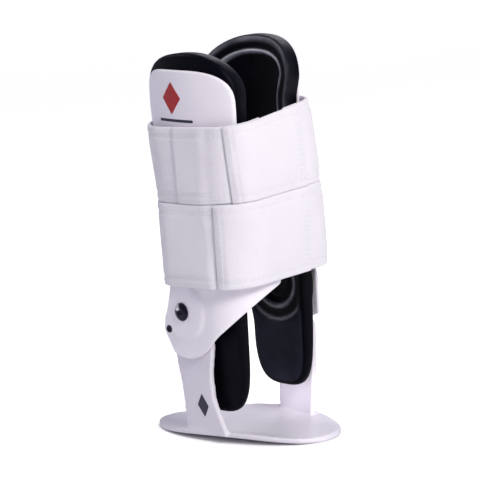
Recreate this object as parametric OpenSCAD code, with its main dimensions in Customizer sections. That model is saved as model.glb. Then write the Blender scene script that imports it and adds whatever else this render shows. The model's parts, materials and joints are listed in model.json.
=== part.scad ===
// Hinged stirrup ankle foot orthosis.
// X forward to the toes, Y towards the inner (medial) side, Z up; millimetres.
// The origin lies on the floor, straight below the ankle hinge axis.

/* [Hinge] */
// Height of the ankle hinge axis above the floor
pivot_z = 87; // [84:0.5:90]
// Diameter of the hinge rivet's shank
shank_d = 8; // [7:0.5:9]
// Diameter of the hinge rivet's outer head
head_d = 12; // [11:0.5:13]
// Diameter of the stop pin
stop_d = 5; // [4.5:0.5:5.5]
// Forward tilt of the upper part, in degrees
dorsiflexion = 20; // [10:1:22]
// Backward tilt of the upper part, in degrees
plantarflexion = 50; // [30:1:52]

/* [Stirrup] */
// Half of the foot plate's length
plate_a = 66; // [64:0.5:68]
// Half of the foot plate's width
plate_b = 38; // [37.5:0.5:39]
// Turn of the foot plate against the hinge axis, in degrees
plate_turn = 14; // [10:1:16]
// Thickness of the foot plate
plate_t = 3.6; // [3.2:0.1:4]
// How far the foot plate's side edges curve up to the arms
edge_rise = 5; // [3:0.5:6]
// Thickness of the arms
arm_t = 4; // [3.8:0.1:4]

/* [Shells] */
// Wall thickness of the side shells
shell_t = 2.6; // [2.2:0.1:2.8]
// Height of the outer shell's top edge
shell_top = 241.5; // [235:0.5:245]
// How much higher the inner side's shell and pad stand
medial_rise = 6; // [0:0.5:8]

/* [Pads] */
// Thickness of the moulded pads
pad_t = 11; // [9:0.5:12]
// Height of the outer pad's top edge
pad_top = 252; // [250:0.5:256]
// Height of the outer pad's bottom edge
pad_bottom = 20; // [18:0.5:24]

/* [Straps] */
// Thickness of one layer of strap
strap_t = 2.2; // [1.8:0.1:2.4]
// Height of the straps' lower edge
strap_low = 105; // [103:0.5:107]
// Height of the seam between the two straps
strap_mid = 159.5; // [156:0.5:162]
// Height of the straps' upper edge
strap_high = 211; // [207:0.5:214]

/* [Hidden] */
$fn = 64;
eps = 0.05;

// Plan curve of the shells and pads: an arc whose centre lies beyond the leg
wall_y = 40;       // outer face of the shells, at the middle
wall_r = 95;       // radius of that face
wall_x = 3;        // its middle, along X
inner_y = wall_y - shell_t;
fastener_t = 0.9;
pad_out_y = inner_y - fastener_t - 2 * eps;

// Lower part of the shells: set outwards to make room for the arms
hood_y = 46;       // outer face of the hood over the hinge
wing_x = 24;       // centre of the wing that wraps round the front of the outer shell
medial_bend_x = 30; // centre of the same bend on the inner shell, which has no wing
wing_y = 20;
wing_end = 6;      // how far short of the middle the wing stops
wing_r = hood_y - wing_y;
shoulder_low = 112;
shoulder_high = 124;

// Layers at the hinge, from the outside in
head_h = 2;        // height of the rivet's outer head
boss_t = 1.4;
boss_r = 20;
hood_in_y = hood_y - shell_t;
disc_t = 0.7;
disc_r = 13;
arm_out_y = hood_in_y - disc_t - 2 * eps;
arm_in_y = arm_out_y - arm_t;
washer_t = 1.2;
washer_r = 8;
end_h = 0.4;       // height of the rivet's clenched inner end
bush_t = 1.2;
running = 0.05;    // radial clearance of the turning fits
bush_r = shank_d / 2 + running + bush_t;
base_y = 33.4;     // inner face of the arms where they leave the foot plate
flare_z = 50;      // height where the arms stop flaring
arm_low = 5;       // the arms' lower ends, inside the foot plate's raised edges

head_r = 15;
slot_r = 17.7;     // radius of the stop pin's circle about the hinge axis
stop_angle = 225;
stop_head = 0.6;    // how far the stop pin stands out of the boss
slot_play = 1;     // extra turn, in degrees, at each end of the stop slot
lobe_r = 31;       // the hood's lower edge, about the hinge axis

function arc(cx, cy, r, a0, a1, n) =
    [for (i = [0:n]) [cx + r * cos(a0 + (a1 - a0) * i / n), cy + r * sin(a0 + (a1 - a0) * i / n)]];
// A quarter of a superellipse from (cx + a, z) to (cx, z + b), or the other way round
function corner(cx, z, a, b, power, from = 0, to = 90, n = 10) =
    [for (i = [0:n]) let (t = from + (to - from) * i / n)
        [cx + a * pow(cos(t), 2 / power), z + b * pow(sin(t), 2 / power)]];

// Draws its children on the outer (side -1) or inner (side +1) half of the leg
module on_side(side) {
    if (side < 0)
        children();
    else
        mirror([0, 1, 0]) children();
}

// Extrudes an X-Z outline through the outer half of the leg
module side_slab(y0 = 0, y1 = 60) {
    translate([0, -y0, 0]) rotate([90, 0, 0]) linear_extrude(y1 - y0) children();
}

// A disc about a point of the X-Z plane, between two distances from the middle
module side_disc(x, z, r, y0, y1) {
    translate([x, -y0, z]) rotate([90, 0, 0]) cylinder(r = r, h = y1 - y0);
}

// Plan band between two arcs of the shells' common centre
module plan_band(out_y, thick, z0, z1) {
    r = wall_r - (wall_y - out_y);
    translate([wall_x, wall_r - wall_y, z0]) linear_extrude(z1 - z0)
        polygon(concat(arc(0, 0, r, 240, 300, 24), arc(0, 0, r - thick, 300, 240, 24)));
}

// ---- stirrup ----

// Egg-shaped outline of the foot plate, broader at the toes
module plate_outline() {
    egg = 0.08;
    polygon([for (a = [0:5:355])
        [plate_a * cos(a), plate_b * sin(a) * (1 + egg * cos(a))]]);
}

// The foot plate is flat in the middle and curves up along both sides
module foot_plate() {
    flat_half = 15;
    curl = function(v) edge_rise * pow(max(0, abs(v) - flat_half) / (plate_b - flat_half), 2);
    across = [for (v = [-42:3:42]) v];
    translate([7, 0, 0]) rotate(plate_turn) intersection() {
        linear_extrude(30) plate_outline();
        translate([-80, 0, 0]) rotate([90, 0, 90]) linear_extrude(160)
            polygon(concat([for (v = across) [v, curl(v)]],
                [for (i = [len(across) - 1:-1:0]) [across[i], curl(across[i]) + plate_t]]));
    }
}

// Cross-section of an arm in the Y-Z plane, from the plate up to the head
module arm_section() {
    step = arm_in_y - base_y;
    inner = [for (i = [0:8]) [-(base_y + step * sin(90 * i / 8)), arm_low + (flare_z - arm_low) * i / 8]];
    outer = [for (p = inner) [p[0] - arm_t, p[1]]];
    polygon(concat(inner, [[-arm_in_y, 120], [-arm_out_y, 120]], [for (i = [8:-1:0]) outer[i]]));
}

// Outline of an arm: its foot, its waist, its knee at the front, and the round head
module arm_outline(back_x, front_x, waist_back, waist_front, knee_front) {
    polygon([[back_x, 0], [back_x, 8], [waist_back, 24], [waist_back, 38], [-13, 56], [-18, 72],
        [-14, pivot_z], [head_r, pivot_z], [knee_front, 66], [waist_front, 47], [waist_front, 30],
        [front_x, 8], [front_x, 0]]);
    translate([0, pivot_z]) circle(r = head_r);
    intersection() {
        translate([0, pivot_z]) circle(r = slot_r + stop_d / 2 + 2.4);
        polygon([[0, pivot_z], [-60, pivot_z - 14], [-60, 0], [10, 0]]);
    }
}

// Arc slot that lets the stop pin travel through the whole ankle motion
module stop_slot() {
    a0 = stop_angle - dorsiflexion - slot_play;
    a1 = stop_angle + plantarflexion + slot_play;
    slot_w = stop_d / 2 + 0.4;
    depth = 12;
    translate([0, -arm_in_y + depth / 2 - arm_t / 2, pivot_z]) rotate([90, 0, 0]) {
        rotate([0, 0, a0]) rotate_extrude(angle = a1 - a0)
            translate([slot_r - slot_w, 0]) square([2 * slot_w, depth]);
        for (a = [a0, a1])
            translate([slot_r * cos(a), slot_r * sin(a), 0]) cylinder(r = slot_w, h = depth);
    }
}

module arm(back_x, front_x, waist_back, waist_front, knee_front) {
    difference() {
        intersection() {
            side_slab() arm_outline(back_x, front_x, waist_back, waist_front, knee_front);
            translate([-80, 0, 0]) rotate([90, 0, 90]) linear_extrude(160) arm_section();
        }
        side_disc(0, pivot_z, bush_r, 20, 60);
        stop_slot();
    }
}

module stirrup() {
    color("white") {
        foot_plate();
        on_side(-1) arm(-12, 24, -10, 18, 21);
        on_side(1) arm(3, 33, 1, 32, 33);
    }
}

// ---- shells ----

// Side outline of a shell, from the arched top down to the hood's round edge
module shell_outline(rise, low_x, neck_x, top_x) {
    top = shell_top + rise;
    ear = stop_d / 2 + 4.5;    // radius of the bulge round the stop pin
    polygon(concat(
        [[low_x, 72], [low_x, 98], [neck_x, 106], [neck_x, 114], [top_x, 140]],
        corner(0, top - 24, top_x, 24, 3),
        corner(0, top - 24, -35.8, 24, 5, 80, 0, 8),
        [[-24.5, 154], [-11, 112], [-11, 100], [-14.5, pivot_z]],
        arc(slot_r * cos(stop_angle), pivot_z + slot_r * sin(stop_angle), ear, 165, 225, 4),
        arc(0, pivot_z, lobe_r, 250, 326, 12)));
}

// Everything below the slanting lower edge of the front wing
module wing_cut() {
    slope_x = 0.698;
    slope_y = 0.399;
    start = [29.6, -46, 73];
    translate(start)
        multmatrix([[1, 0, 0, 0], [0, 1, 0, 0], [slope_x, slope_y, 1, 0], [0, 0, 0, 1]])
            translate([-6, -20, -60]) cube([80, 90, 60]);
}

// Plan curve of the hood and the wing: straight over the hinge, round at the front
module hood_plan(bend_x) {
    tip = bend_x + wing_r;
    polygon(concat([[-40, -hood_y]], arc(bend_x, -wing_y, wing_r, 270, 360, 20),
        [[tip, -wing_end], [tip - shell_t, -wing_end]],
        arc(bend_x, -wing_y, wing_r - shell_t, 360, 270, 20), [[-40, -hood_in_y]]));
}

// The step inwards from the hood to the wall above it, as a short stair
module shoulder() {
    steps = 5;
    rise = (shoulder_high - shoulder_low) / steps;
    run = (hood_y - wall_y) / steps;
    for (i = [0:steps - 1])
        translate([-40, -hood_y + i * run, shoulder_low + i * rise])
            cube([40 + wing_x + 6, shell_t + run, rise + shell_t]);
}

module shell(rise, low_x, neck_x, top_x, bend_x) {
    difference() {
        intersection() {
            side_slab(-10, 60) shell_outline(rise, low_x, neck_x, top_x);
            union() {
                plan_band(wall_y, shell_t, shoulder_low + 4, 260);
                translate([0, 0, 40]) linear_extrude(shoulder_low + shell_t - 40) hood_plan(bend_x);
                shoulder();
                side_disc(0, pivot_z, boss_r, hood_y - eps, hood_y + boss_t);
            }
        }
        wing_cut();
        side_disc(0, pivot_z, shank_d / 2, 30, 60);
        side_disc(slot_r * cos(stop_angle), pivot_z + slot_r * sin(stop_angle), stop_d / 2, 30, 60);
    }
}

module lateral_shell() { color("ghostwhite") on_side(-1) shell(0, 60, 60, 41.5, wing_x); }
module medial_shell() { color("ghostwhite") on_side(1) shell(medial_rise, 34.5, 31, 36, medial_bend_x); }

// ---- pads ----

// Side outline of a pad. Its shape lists width and squareness of the four corners,
// top front, top back, heel and toe, then the neck's front and back above the straps.
lateral_pad_shape = [[34.5, 2], [51, 2.15], [22.5, 4], [24, 3], [39, -38]];
medial_pad_shape = [[40, 2.4], [42, 2], [24.5, 3], [24, 3.8], [38.5, -34.5]];

module pad_outline(rise, shape) {
    top = pad_top + rise - 26;
    low = pad_bottom + rise + 40;
    neck = strap_high + 1 + rise;
    polygon(concat(
        [[shape[4][0], neck]],
        corner(5, top, shape[0][0], 26, shape[0][1]),
        corner(5, top, -shape[1][0], 26, shape[1][1], 85, 0, 9),
        [[shape[4][1], neck], [-27, 154], [-17, 100]],
        corner(15, low, -shape[2][0], -40, shape[2][1]),
        corner(15, low, shape[3][0], -40, shape[3][1], 85, 0, 9)));
}

flat_z = 112;      // below this height the pads are flat

// Keeps the pad's lower end clear of the arms at every angle of the hinge
module pad_relief() {
    relief = 6;
    translate([0, 0, pivot_z]) rotate([90, 0, 0]) rotate_extrude()
        polygon([[26, pad_out_y], [80, pad_out_y - relief], [80, 60], [0, 60], [0, pad_out_y]]);
}

module pad(rise, shape) {
    difference() {
        intersection() {
            side_slab(0, 50) pad_outline(rise, shape);
            union() {
                plan_band(pad_out_y, pad_t, flat_z, 270);
                translate([-60, -pad_out_y, 0]) cube([120, pad_t, flat_z + 4]);
            }
        }
        intersection() {
            pad_relief();
            translate([-60, -60, 0]) cube([120, 60, pivot_z]);
        }
    }
}

module lateral_pad() { color([0.05, 0.05, 0.09]) on_side(-1) pad(0, lateral_pad_shape); }
module medial_pad() { color([0.05, 0.05, 0.09]) on_side(1) pad(medial_rise, medial_pad_shape); }

// ---- hinge hardware ----

// Rivet: domed outer head, shank through the shell, disc, bush and washer
module hinge_rivet() {
    dome_r = 12;
    start = arm_in_y - washer_t - eps - end_h;
    side_disc(0, pivot_z, shank_d / 2, start, hood_y + boss_t + eps);
    side_disc(0, pivot_z, shank_d / 2 + 1.2, start, start + end_h);
    translate([0, -(hood_y + boss_t + eps), pivot_z]) rotate([90, 0, 0]) intersection() {
        cylinder(d = head_d, h = head_h);
        translate([0, 0, head_h - dome_r]) sphere(r = dome_r);
    }
}

module rivet_washer() {
    difference() {
        side_disc(0, pivot_z, washer_r, arm_in_y - washer_t - eps, arm_in_y - eps);
        side_disc(0, pivot_z, shank_d / 2, 20, 60);
    }
}

module hinge_bush() {
    difference() {
        side_disc(0, pivot_z, bush_r, arm_in_y, arm_out_y);
        side_disc(0, pivot_z, shank_d / 2 + running, 20, 60);
    }
}

module friction_disc() {
    difference() {
        side_disc(0, pivot_z, disc_r, arm_out_y + eps, hood_in_y - eps);
        side_disc(0, pivot_z, shank_d / 2 + running, 20, 60);
    }
}

module stop_pin() {
    x = slot_r * cos(stop_angle);
    z = pivot_z + slot_r * sin(stop_angle);
    side_disc(x, z, stop_d / 2, arm_in_y + 0.6, hood_y + boss_t + stop_head);
}

module lateral_hinge_rivet() { color([0.2, 0.2, 0.26]) on_side(-1) hinge_rivet(); }
module medial_hinge_rivet() { color([0.2, 0.2, 0.26]) on_side(1) hinge_rivet(); }
module lateral_rivet_washer() { color("silver") on_side(-1) rivet_washer(); }
module medial_rivet_washer() { color("silver") on_side(1) rivet_washer(); }
module lateral_hinge_bush() { color("ivory") on_side(-1) hinge_bush(); }
module medial_hinge_bush() { color("ivory") on_side(1) hinge_bush(); }
module lateral_friction_disc() { color("ivory") on_side(-1) friction_disc(); }
module medial_friction_disc() { color("ivory") on_side(1) friction_disc(); }
module lateral_stop_pin() { color([0.2, 0.2, 0.26]) on_side(-1) stop_pin(); }
module medial_stop_pin() { color([0.2, 0.2, 0.26]) on_side(1) stop_pin(); }

// ---- straps ----

// Strap loops at three heights: front at the outer and at the inner side, back,
// half width, and the corners' radii at the front outer, front inner and back
level_low = [54.5, 49.5, -23.5, 50.6, 24, 24, 18];
level_mid = [51, 51, -33, 45.8, 24, 24, 24];
level_high = [48.5, 45.4, -41.3, 43.5, 20, 24, 24];
tilt_low = 1.2;
tilt_mid = 3.2;
tilt_high = 7;
seam_gap = 0.4;
strap_rise = -2.5;   // turn about Y that lifts the straps in front, in degrees

function mix(a, b, f) = a + (b - a) * f;

// One thin slice of a strap loop, tilted as the strap lies on the leg
module loop_slice(level, z, tilt, grow) {
    front = [level[0], level[1]];
    radius = [level[4], level[5]];
    slice = 0.01;
    translate([0, 0, z]) rotate([tilt, strap_rise, 0]) linear_extrude(slice) hull()
        for (i = [0, 1]) {
            side = 2 * i - 1;
            translate([front[i] - radius[i], side * (level[3] - radius[i])])
                circle(r = radius[i] + grow, $fn = 40);
            translate([level[2] + level[6], side * (level[3] - level[6])])
                circle(r = level[6] + grow, $fn = 40);
        }
}

// A loop filled in, from z0 to z1 and on past both ends by extra
module loop_solid(levels, tilts, z0, z1, grow, extra = 0) {
    f = extra / (z1 - z0);
    hull() for (end = [-f, 1 + f])
        loop_slice(mix(levels[0], levels[1], end), mix(z0, z1, end), mix(tilts[0], tilts[1], end), grow);
}

module loop_band(levels, tilts, z0, z1, grow, thick) {
    difference() {
        loop_solid(levels, tilts, z0, z1, grow);
        loop_solid(levels, tilts, z0, z1, grow - thick, 1);
    }
}

module lower_loop(grow, thick = strap_t) {
    loop_band([level_low, level_mid], [tilt_low, tilt_mid], strap_low, strap_mid - seam_gap, grow, thick);
}

module upper_loop(grow, thick = strap_t) {
    loop_band([level_mid, level_high], [tilt_mid, tilt_high], strap_mid + seam_gap, strap_high, grow, thick);
}

flap_root_y = 19;   // the line where a flap is sewn to its strap, on the front
upper_end_x = 43;   // the upper flap's free end, at the outer front corner
lower_end_x = 35.5; // the lower flap's free end
flap_lean = 0.1;    // slope of the free ends, forward as they go down
hook_t = 0.6;
layer = strap_t + hook_t + 2 * eps;

// Leans its children forward below mid_z and backward above it
module lean(mid_z) {
    multmatrix([[1, 0, -flap_lean, flap_lean * mid_z], [0, 1, 0, 0], [0, 0, 1, 0], [0, 0, 0, 1]])
        children();
}

// Space of a flap: the whole front and the outer side's front part
module flap_space(end_x, mid_z) {
    lean(mid_z) translate([end_x, -70, 60]) cube([60, 70 + flap_root_y, 180]);
}

// The strap runs all the way round but for a gap in front, under the flap
module front_gap() {
    translate([30, -16, 60]) cube([60, 24, 180]);
}

module upper_strap() { color("white") difference() { upper_loop(0); front_gap(); } }
module lower_strap() { color("whitesmoke") difference() { lower_loop(0); front_gap(); } }
module upper_flap() { color("white") intersection() { upper_loop(layer); flap_space(upper_end_x, (strap_mid + strap_high) / 2); } }
module lower_flap() { color("whitesmoke") intersection() { lower_loop(layer); flap_space(lower_end_x, (strap_low + strap_mid) / 2); } }

// ---- strap and pad fasteners ----

// Patch of hooks under the free end of a flap, which grips the strap below it
module hook_patch(end_x, z0, z1) {
    margin = 5;
    lean((z0 + z1) / 2) translate([end_x + 1, -70, z0 + margin]) cube([30, 44, z1 - z0 - 2 * margin]);
}

module upper_hook_patch() {
    color("gainsboro") intersection() {
        upper_loop(hook_t + eps, hook_t);
        hook_patch(upper_end_x, strap_mid, strap_high);
    }
}

module lower_hook_patch() {
    color("gainsboro") intersection() {
        lower_loop(hook_t + eps, hook_t);
        hook_patch(lower_end_x, strap_low, strap_mid);
    }
}

// Hook panels on the outside of a shell, under the straps
module strap_anchor() {
    intersection() {
        plan_band(wall_y + eps + hook_t, hook_t, strap_low + 24, strap_high - 10);
        side_slab(0, 60) union() {
            translate([-16, strap_mid + 10]) square([38, 26]);
            translate([-14, shoulder_high + 4]) square([38, 24]);
        }
    }
}

// Hook discs that hold a pad inside its shell
module pad_fasteners() {
    fastener_r = 11;
    intersection() {
        plan_band(inner_y - eps, fastener_t, 120, 240);
        union() {
            for (z = [140, 180, 220]) side_disc(4, z, fastener_r, 20, 60);
        }
    }
}

module lateral_strap_anchor() { color("gray") on_side(-1) strap_anchor(); }
module medial_strap_anchor() { color("gray") on_side(1) strap_anchor(); }
module lateral_pad_fasteners() { color("gray") on_side(-1) pad_fasteners(); }
module medial_pad_fasteners() { color("gray") on_side(1) pad_fasteners(); }

stirrup();
lateral_shell();
medial_shell();
lateral_pad();
medial_pad();
lateral_hinge_rivet();
medial_hinge_rivet();
lateral_rivet_washer();
medial_rivet_washer();
lateral_hinge_bush();
medial_hinge_bush();
lateral_friction_disc();
medial_friction_disc();
lateral_stop_pin();
medial_stop_pin();
upper_strap();
lower_strap();
upper_flap();
lower_flap();
upper_hook_patch();
lower_hook_patch();
lateral_strap_anchor();
medial_strap_anchor();
lateral_pad_fasteners();
medial_pad_fasteners();
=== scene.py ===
"""Visual model of a hinged stirrup ankle brace. Lengths inside this script are millimetres."""
import json
import math
import bmesh
import bpy
import numpy as np
from mathutils import Matrix, Vector
from mathutils.geometry import delaunay_2d_cdt


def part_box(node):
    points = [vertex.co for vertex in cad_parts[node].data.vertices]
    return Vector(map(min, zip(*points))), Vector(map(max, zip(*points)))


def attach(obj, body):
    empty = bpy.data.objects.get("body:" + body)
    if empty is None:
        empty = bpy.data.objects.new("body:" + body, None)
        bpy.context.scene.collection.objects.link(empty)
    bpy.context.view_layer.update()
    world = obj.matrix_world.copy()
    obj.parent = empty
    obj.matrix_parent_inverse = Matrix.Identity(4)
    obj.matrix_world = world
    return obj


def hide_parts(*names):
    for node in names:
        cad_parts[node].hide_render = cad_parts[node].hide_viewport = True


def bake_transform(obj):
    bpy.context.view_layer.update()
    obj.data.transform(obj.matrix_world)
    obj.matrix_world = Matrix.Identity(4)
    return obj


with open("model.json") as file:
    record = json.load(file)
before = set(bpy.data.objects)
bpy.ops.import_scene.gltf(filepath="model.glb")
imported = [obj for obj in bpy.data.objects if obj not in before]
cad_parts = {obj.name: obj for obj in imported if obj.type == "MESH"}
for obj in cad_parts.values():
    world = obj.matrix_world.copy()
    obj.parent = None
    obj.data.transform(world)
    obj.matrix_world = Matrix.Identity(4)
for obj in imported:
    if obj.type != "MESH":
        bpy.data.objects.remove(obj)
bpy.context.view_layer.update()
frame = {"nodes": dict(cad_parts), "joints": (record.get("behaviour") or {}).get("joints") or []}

MM = 0.001
SIDES = {"lateral": -1, "medial": 1}     # the sign of Y on each side of the leg


def box_mm(node):
    """A CAD node's lowest and highest corner, in millimetres."""
    low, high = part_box(node)
    return np.array(low) / MM, np.array(high) / MM


# ---------------------------------------------------------------- driving sizes
JOINTS = {j["name"]: j for j in frame["joints"]}
PIVOT_Z = JOINTS["ankle_hinge"]["pos_m"][2] / MM
HINGE = np.array([0.0, PIVOT_Z])     # the ankle's axis, in X and Z
SHELL_LOW, SHELL_HIGH = box_mm("lateral_shell")
MEDIAL_RISE = box_mm("medial_shell")[1][2] - SHELL_HIGH[2]
RISE = {"lateral": 0.0, "medial": MEDIAL_RISE}   # the inner shell and pad reach higher
PAD_LOW, PAD_HIGH = box_mm("lateral_pad")
RIVET_LOW, RIVET_HIGH = box_mm("lateral_hinge_rivet")
PIN_LOW, PIN_HIGH = box_mm("lateral_stop_pin")
PIN = np.array([(PIN_LOW[0] + PIN_HIGH[0]) / 2, (PIN_LOW[2] + PIN_HIGH[2]) / 2])
BUSH_LOW = box_mm("lateral_hinge_bush")[0][1]

BOSS_T = 1.4                         # the raised boss round each rivet
BOSS_R = (17.2, 20.6)                # it fades out between these distances from the hinge
EAR_T = 0.1                          # the wall's rise about the stop pin
EAR_R = (3.4, 6.2)
HOOD_Y = -SHELL_LOW[1] - BOSS_T      # the hood's outer face, from the middle of the leg
SHELL_T = 2.6
SHELL_EDGE = 1.5                     # radius of the shells' rims
WALL_Y = 40.0                        # the upper wall's outer face
WALL_R = 95.0                        # its radius in plan
WALL_X = 3.0                         # and its middle along X
WING_X = 24.0                        # centre of the wing's bend
WING_R = SHELL_HIGH[0] - WING_X
WING_Y = HOOD_Y - WING_R
WING_END = 6.0                       # it stops this far, in Y, from the middle of the leg
WING_FOOT_X, WING_FOOT_Z = 29.6, 73.0    # where the wing's lower edge starts
WING_CLIMB = (0.698, -0.399)         # its climb per millimetre along X and along Y
MEDIAL_BEND_X = 30.0                 # the inner shell bends a little further forward
TOP_X = {-1: 41.5, 1: 36.0}          # forward half width of each shell's top
TOP_BACK_X = 35.8
TOP_H = 24.0                         # height of its rounded corners
PAD_T = 11.0
PAD_Y = WALL_Y - SHELL_T - 1.0       # the pads' outer face
FLAT_Z = 112.0                       # below this height hood and pads are flat
HOOD_BLEND = (-3.0, 13.0)            # hood and wall run together between these, from FLAT_Z
WING_BLEND = 7.0                     # the wing stays flat this much higher
LOBE_R = 31.0                        # the hood's lower edge about the hinge
ARM_BASE_Y, ARM_T = 33.4, 4.0        # an arm's inner face at the plate, and its thickness
ARM_LOW_Z, ARM_FLARE_Z = 5.0, 50.0   # it flares out between these heights
STRAP_Z = {"low": 105.0, "mid": 159.5, "high": 211.0}    # the two straps meet at mid


# ---------------------------------------------------------------- curves and grids
CHUNK = 1000        # points handled at a time, to keep the arrays small
# As shares of a mesh's pitch:
EDGE_PITCH = 0.8    # spacing of its outline's points
ROW_PITCH = 0.866   # spacing of its rows, for near equilateral triangles
CLEARANCE = 0.6     # strip left free inside the innermost ring


def smooth(a, b, x):
    """0 at a and 1 at b, with level ends."""
    t = np.clip((np.asarray(x, float) - a) / (b - a), 0, 1)
    return t * t * (3 - 2 * t)


def bump(x, centre, width):
    """A bell curve of height 1."""
    return np.exp(-((np.asarray(x, float) - centre) / width) ** 2)


def resample(points, n):
    """n points evenly spaced along a polyline."""
    points = np.asarray(points, float)
    step = np.linalg.norm(np.diff(points, axis=0), axis=1)
    along = np.concatenate([[0], np.cumsum(step)])
    at = np.linspace(0, along[-1], n)
    return np.stack([np.interp(at, along, points[:, i]) for i in range(points.shape[1])], 1)


def arc(cx, cy, r, a0, a1, n=16):
    a = np.radians(np.linspace(a0, a1, n))
    return np.stack([cx + r * np.cos(a), cy + r * np.sin(a)], 1)


def corner(cx, z, a, b, power, start=0, end=90, n=24):
    """Part of a superellipse quadrant, as in the CAD outlines."""
    t = np.radians(np.linspace(start, end, n))
    return np.stack([cx + a * np.abs(np.cos(t)) ** (2 / power),
                     z + b * np.abs(np.sin(t)) ** (2 / power)], 1)


def smooth_loop(points, pitch, blur):
    """An even, anticlockwise closed loop through an outline, its corners rounded off."""
    points = np.asarray(points, float)
    ahead = np.roll(points, -1, axis=0)
    if np.sum(points[:, 0] * ahead[:, 1] - ahead[:, 0] * points[:, 1]) < 0:
        points = points[::-1]
    closed = np.vstack([points, points[:1]])
    length = np.linalg.norm(np.diff(closed, axis=0), axis=1).sum()
    n = int(length / pitch)
    loop = resample(closed, n + 1)[:-1]
    reach = int(4 * blur / pitch) + 1
    weight = np.exp(-0.5 * (np.arange(-reach, reach + 1) * pitch / blur) ** 2)
    weight /= weight.sum()
    return sum(w * np.roll(loop, k, axis=0) for w, k in zip(weight, range(-reach, reach + 1)))


def inward(loop):
    """Unit vectors from an anticlockwise loop towards its inside."""
    tangent = np.roll(loop, -1, axis=0) - np.roll(loop, 1, axis=0)
    normal = np.stack([-tangent[:, 1], tangent[:, 0]], 1)
    return normal / np.linalg.norm(normal, axis=1, keepdims=True)


def edge_distance(p, loop):
    """Distance of 2-D points to a closed loop."""
    a, b = loop, np.roll(loop, -1, axis=0)
    d = b - a
    out = np.empty(len(p))
    for i in range(0, len(p), CHUNK):
        q = p[i:i + CHUNK, None]
        t = np.clip(((q - a) * d).sum(2) / (d * d).sum(1), 0, 1)
        out[i:i + CHUNK] = np.linalg.norm(q - a - t[..., None] * d, axis=2).min(1)
    return out


def inside(p, loop):
    """Which 2-D points lie inside a closed loop."""
    a, b = loop, np.roll(loop, -1, axis=0)
    hit = np.zeros(len(p), bool)
    for i in range(0, len(p), CHUNK):
        x, y = p[i:i + CHUNK, 0, None], p[i:i + CHUNK, 1, None]
        spans = (a[:, 1] > y) != (b[:, 1] > y)
        rise = np.where(b[:, 1] == a[:, 1], 1, b[:, 1] - a[:, 1])
        cross = a[:, 0] + (y - a[:, 1]) * (b[:, 0] - a[:, 0]) / rise
        hit[i:i + CHUNK] = (spans & (x < cross)).sum(1) % 2 == 1
    return hit


def edge_drop(d, reach, depth):
    """How far a face falls back near a rounded edge, at a distance d from that edge."""
    t = 1 - np.clip(d / reach, 0, 1)
    return depth * (1 - np.sqrt(np.maximum(1 - t * t, 0)))


def grid_normals(p):
    """Unit normals of a grid of 3-D points."""
    n = np.cross(np.gradient(p, axis=1), np.gradient(p, axis=0))
    return n / np.maximum(np.linalg.norm(n, axis=2, keepdims=True), 1e-9)


# ---------------------------------------------------------------- mesh building
def new_object(name, verts, faces, mat, body=None, uv=None):
    """A smooth-shaded closed mesh from millimetre points."""
    mesh = bpy.data.meshes.new(name)
    mesh.from_pydata((np.asarray(verts, float) * MM).tolist(), [],
                     [tuple(map(int, f)) for f in faces])
    if uv is not None:
        layer = mesh.uv_layers.new(name="UVMap")
        index = np.empty(len(mesh.loops), int)
        mesh.loops.foreach_get("vertex_index", index)
        layer.data.foreach_set("uv", (np.asarray(uv, float)[index] * MM).ravel())
    b = bmesh.new()
    b.from_mesh(mesh)
    bmesh.ops.remove_doubles(b, verts=b.verts, dist=1e-6)
    bmesh.ops.recalc_face_normals(b, faces=b.faces)
    b.to_mesh(mesh)
    b.free()
    mesh.shade_smooth()
    obj = bpy.data.objects.new(name, mesh)
    bpy.context.scene.collection.objects.link(obj)
    mesh.materials.append(mat)
    if body is not None:
        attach(obj, body)
    return obj


def flat_mesh(outline, pitch, blur, rings):
    """Triangulates an outline, with rows of points at the given distances from its edge.

    Returns the points, their distance to the edge, the faces, and the edge's point count."""
    loop = smooth_loop(outline, pitch * EDGE_PITCH, blur)
    normal = inward(loop)
    n = len(loop)
    rows = [loop] + [loop + normal * r for r in rings]
    low, high = loop.min(0), loop.max(0)
    xs = np.arange(low[0], high[0], pitch)
    zs = np.arange(low[1], high[1], pitch * ROW_PITCH)
    grid = np.stack(np.meshgrid(xs, zs), 2)
    grid[1::2, :, 0] += pitch / 2
    grid = grid.reshape(-1, 2)
    grid = grid[inside(grid, loop)]
    distance = edge_distance(grid, loop)
    keep = distance > rings[-1] + CLEARANCE * pitch
    grid, distance = grid[keep], distance[keep]
    points = np.vstack(rows + [grid])
    distances = np.concatenate([np.full(n, r) for r in [0] + list(rings)] + [distance])
    k = np.arange(n)
    faces = []
    for row in range(len(rings)):
        a = row * n
        faces += np.stack([a + k, a + (k + 1) % n, a + n + (k + 1) % n, a + n + k], 1).tolist()
    first = len(rings) * n
    inner = points[first:]
    edges = [(i, (i + 1) % n) for i in range(n)]
    _, _, tris, origin, _, _ = delaunay_2d_cdt([Vector(p) for p in inner], edges, [], 1, 1e-5)
    faces += [[first + origin[i][0] for i in t] for t in tris if all(origin[i] for i in t)]
    return points, distances, faces, n


def panel(name, outline, place, mat, body, pitch=1.7, blur=1.5,
          rings=(0.1, 0.4, 0.85, 1.4)):
    """A closed plate: place(points, distance) gives its front and back as 3-D points."""
    flat, distance, faces, n = flat_mesh(outline, pitch, blur, rings)
    front, back = place(flat, distance)
    total = len(flat)
    other = [[i + total for i in f][::-1] for f in faces]
    rim = [(i, i + total, (i + 1) % n + total, (i + 1) % n) for i in range(n)]
    return new_object(name, np.vstack([front, back]), faces + other + rim, mat, body)


def set_attribute(obj, name, value_of):
    """Stores value_of(points in mm) on the mesh."""
    co = np.array([v.co for v in obj.data.vertices], float) / MM
    layer = obj.data.attributes.new(name, "FLOAT", "POINT")
    layer.data.foreach_set("value", np.asarray(value_of(co), np.float32).ravel())


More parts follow.
